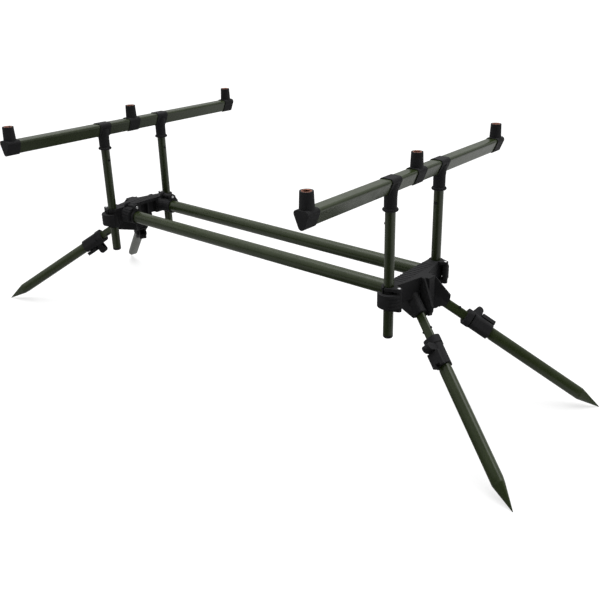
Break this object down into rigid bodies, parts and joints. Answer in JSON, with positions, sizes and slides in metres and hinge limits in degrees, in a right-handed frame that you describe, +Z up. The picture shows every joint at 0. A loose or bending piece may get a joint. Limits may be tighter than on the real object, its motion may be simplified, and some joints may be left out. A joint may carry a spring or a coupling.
{
  "type": "rod pod",
  "caption": "Low rod pod: body tubes between moulded heads, splayed telescopic spiked legs with flip locks, and sliding buzz bars with threaded sockets for rod rests.",
  "frame": {"origin": "on the ground under the middle of the pod", "axes": "+X along the body towards the rear buzz bar, +Y along the buzz bars, +Z up"},
  "size_m": [0.9804, 0.445, 0.3476],
  "materials": {
    "olive_paint": "satin",
    "black_plastic": "textured",
    "copper_insert": "satin",
    "steel": "bright"
  },
  "bodies": {
    "base": {"rear_head": "black_plastic", "left_body_tube": "olive_paint", "right_body_tube": "olive_paint", "body_tube_caps": "black_plastic", "rear_lever_pins": "steel", "rear_left_inner_leg": "olive_paint", "rear_right_inner_leg": "olive_paint", "rear_leg_pins": "black_plastic"},
    "front_head": {"front_head": "black_plastic", "front_lever_pins": "steel", "front_left_inner_leg": "olive_paint", "front_right_inner_leg": "olive_paint", "front_leg_pins": "black_plastic"},
    "rear_bar": {"rear_buzz_bar": "olive_paint", "rear_left_end_socket": "black_plastic", "rear_right_end_socket": "black_plastic", "rear_centre_socket": "black_plastic", "rear_inserts": "copper_insert", "rear_left_tee_collar": "black_plastic", "rear_right_tee_collar": "black_plastic", "rear_left_upright": "olive_paint", "rear_right_upright": "olive_paint", "rear_upright_plugs": "black_plastic", "rear_stop_buttons": "black_plastic"},
    "front_bar": {"front_buzz_bar": "olive_paint", "front_left_end_socket": "black_plastic", "front_right_end_socket": "black_plastic", "front_centre_socket": "black_plastic", "front_inserts": "copper_insert", "front_left_tee_collar": "black_plastic", "front_right_tee_collar": "black_plastic", "front_left_upright": "olive_paint", "front_right_upright": "olive_paint", "front_upright_plugs": "black_plastic", "front_stop_buttons": "black_plastic"},
    "rear_left_upright_lever": {"rear_left_upright_lever": "black_plastic"},
    "rear_right_upright_lever": {"rear_right_upright_lever": "black_plastic"},
    "front_left_upright_lever": {"front_left_upright_lever": "black_plastic"},
    "front_right_upright_lever": {"front_right_upright_lever": "black_plastic"},
    "left_body_lever": {"left_body_lever": "black_plastic"},
    "right_body_lever": {"right_body_lever": "black_plastic"},
    "rear_left_lower_leg": {"rear_left_outer_leg": "olive_paint", "rear_left_spike": "olive_paint", "rear_left_leg_lock": "black_plastic"},
    "rear_left_lock_lever": {"rear_left_lock_lever": "black_plastic"},
    "rear_right_lower_leg": {"rear_right_outer_leg": "olive_paint", "rear_right_spike": "olive_paint", "rear_right_leg_lock": "black_plastic"},
    "rear_right_lock_lever": {"rear_right_lock_lever": "black_plastic"},
    "front_left_lower_leg": {"front_left_outer_leg": "olive_paint", "front_left_spike": "olive_paint", "front_left_leg_lock": "black_plastic"},
    "front_left_lock_lever": {"front_left_lock_lever": "black_plastic"},
    "front_right_lower_leg": {"front_right_outer_leg": "olive_paint", "front_right_spike": "olive_paint", "front_right_leg_lock": "black_plastic"},
    "front_right_lock_lever": {"front_right_lock_lever": "black_plastic"}
  },
  "joints": [
    {"name": "front_head_slide", "type": "slide", "parent": "base", "child": "front_head", "axis": [1, 0, 0], "range_m": [0, 0.15]},
    {"name": "rear_bar_height", "type": "slide", "parent": "base", "child": "rear_bar", "axis": [0, 0, 1], "range_m": [-0.075, 0.03]},
    {"name": "front_bar_height", "type": "slide", "parent": "front_head", "child": "front_bar", "axis": [0, 0, 1], "range_m": [-0.075, 0.03]},
    {"name": "rear_left_upright_lever_turn", "type": "hinge", "parent": "base", "child": "rear_left_upright_lever", "pos_m": [0.285, -0.057, 0.17375], "axis": [0, 0, 1], "range_deg": [0, 100]},
    {"name": "rear_right_upright_lever_turn", "type": "hinge", "parent": "base", "child": "rear_right_upright_lever", "pos_m": [0.285, 0.057, 0.17375], "axis": [0, 0, -1], "range_deg": [0, 100]},
    {"name": "front_left_upright_lever_turn", "type": "hinge", "parent": "front_head", "child": "front_left_upright_lever", "pos_m": [-0.285, -0.057, 0.17375], "axis": [0, 0, -1], "range_deg": [0, 100]},
    {"name": "front_right_upright_lever_turn", "type": "hinge", "parent": "front_head", "child": "front_right_upright_lever", "pos_m": [-0.285, 0.057, 0.17375], "axis": [0, 0, 1], "range_deg": [0, 100]},
    {"name": "left_body_lever_turn", "type": "hinge", "parent": "front_head", "child": "left_body_lever", "pos_m": [-0.2445, -0.0375, 0.1923], "axis": [-1, 0, 0], "range_deg": [0, 110]},
    {"name": "right_body_lever_turn", "type": "hinge", "parent": "front_head", "child": "right_body_lever", "pos_m": [-0.2445, 0.0375, 0.1923], "axis": [1, 0, 0], "range_deg": [0, 110]},
    {"name": "rear_left_leg_slide", "type": "slide", "parent": "base", "child": "rear_left_lower_leg", "axis": [0.7227, -0.4089, -0.5572], "range_m": [-0.011, 0.11]},
    {"name": "rear_left_lock_lever_turn", "type": "hinge", "parent": "rear_left_lower_leg", "child": "rear_left_lock_lever", "pos_m": [0.33399, -0.06533, 0.12575], "axis": [-0.6662, -0.1976, -0.7191], "range_deg": [0, 120]},
    {"name": "rear_right_leg_slide", "type": "slide", "parent": "base", "child": "rear_right_lower_leg", "axis": [0.7227, 0.4089, -0.5572], "range_m": [-0.011, 0.11]},
    {"name": "rear_right_lock_lever_turn", "type": "hinge", "parent": "rear_right_lower_leg", "child": "rear_right_lock_lever", "pos_m": [0.33399, 0.06533, 0.12575], "axis": [0.6662, -0.1976, 0.7191], "range_deg": [0, 120]},
    {"name": "front_left_leg_slide", "type": "slide", "parent": "front_head", "child": "front_left_lower_leg", "axis": [-0.7227, -0.4089, -0.5572], "range_m": [-0.011, 0.11]},
    {"name": "front_left_lock_lever_turn", "type": "hinge", "parent": "front_left_lower_leg", "child": "front_left_lock_lever", "pos_m": [-0.32812, -0.04259, 0.10145], "axis": [0.4924, -0.8704, 0], "range_deg": [0, 120]},
    {"name": "front_right_leg_slide", "type": "slide", "parent": "front_head", "child": "front_right_lower_leg", "axis": [-0.7227, 0.4089, -0.5572], "range_m": [-0.011, 0.11]},
    {"name": "front_right_lock_lever_turn", "type": "hinge", "parent": "front_right_lower_leg", "child": "front_right_lock_lever", "pos_m": [-0.32812, 0.04259, 0.10145], "axis": [-0.4924, -0.8704, 0], "range_deg": [0, 120]}
  ]
}
